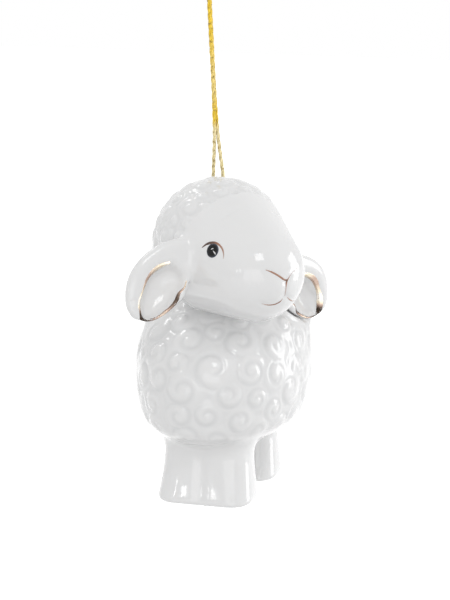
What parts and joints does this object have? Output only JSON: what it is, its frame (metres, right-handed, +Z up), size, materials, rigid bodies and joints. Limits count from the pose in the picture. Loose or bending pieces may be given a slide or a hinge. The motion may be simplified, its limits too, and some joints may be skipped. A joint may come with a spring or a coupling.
{
  "type": "hanging lamb figurine",
  "caption": "Glazed white porcelain lamb figurine with gilded ears and a woolly coat, hanging on a fine gold cord loop that passes through its crown.",
  "frame": {"origin": "the inner top of the cord's eye, where a hook or twig takes the weight", "axes": "+Z up, square to the soles; the lamb's body faces -Y and its own left side is +X"},
  "size_m": [0.0439, 0.0674, 0.1327],
  "materials": {
    "porcelain": "clear gloss glaze over white slip-cast porcelain",
    "eye_enamel": "fired charcoal overglaze enamel",
    "gold_cord": "twisted metallised yarn"
  },
  "bodies": {
    "hanger": {"hanging_cord": "gold_cord", "cord_knot": "gold_cord"},
    "yoke": {"cord_stirrup": "gold_cord"},
    "sheep": {"torso_shell": "porcelain", "head_shell": "porcelain", "right_ear": "porcelain", "left_ear": "porcelain", "front_legs": "porcelain", "hind_legs": "porcelain", "tail": "porcelain", "right_eye": "eye_enamel", "left_eye": "eye_enamel"}
  },
  "joints": [
    {"name": "turn", "type": "hinge", "parent": "hanger", "child": "yoke", "pos_m": [0.0021, 0, -0.04081], "axis": [-0.0515, 0, 0.9987], "range_deg": [-180, 180], "stiffness_Nm_per_rad": 0.00002},
    {"name": "swing", "type": "hinge", "parent": "yoke", "child": "sheep", "pos_m": [0.00283, 0, -0.05493], "axis": [0.9987, 0, 0.0515], "range_deg": [-8, 8]}
  ]
}
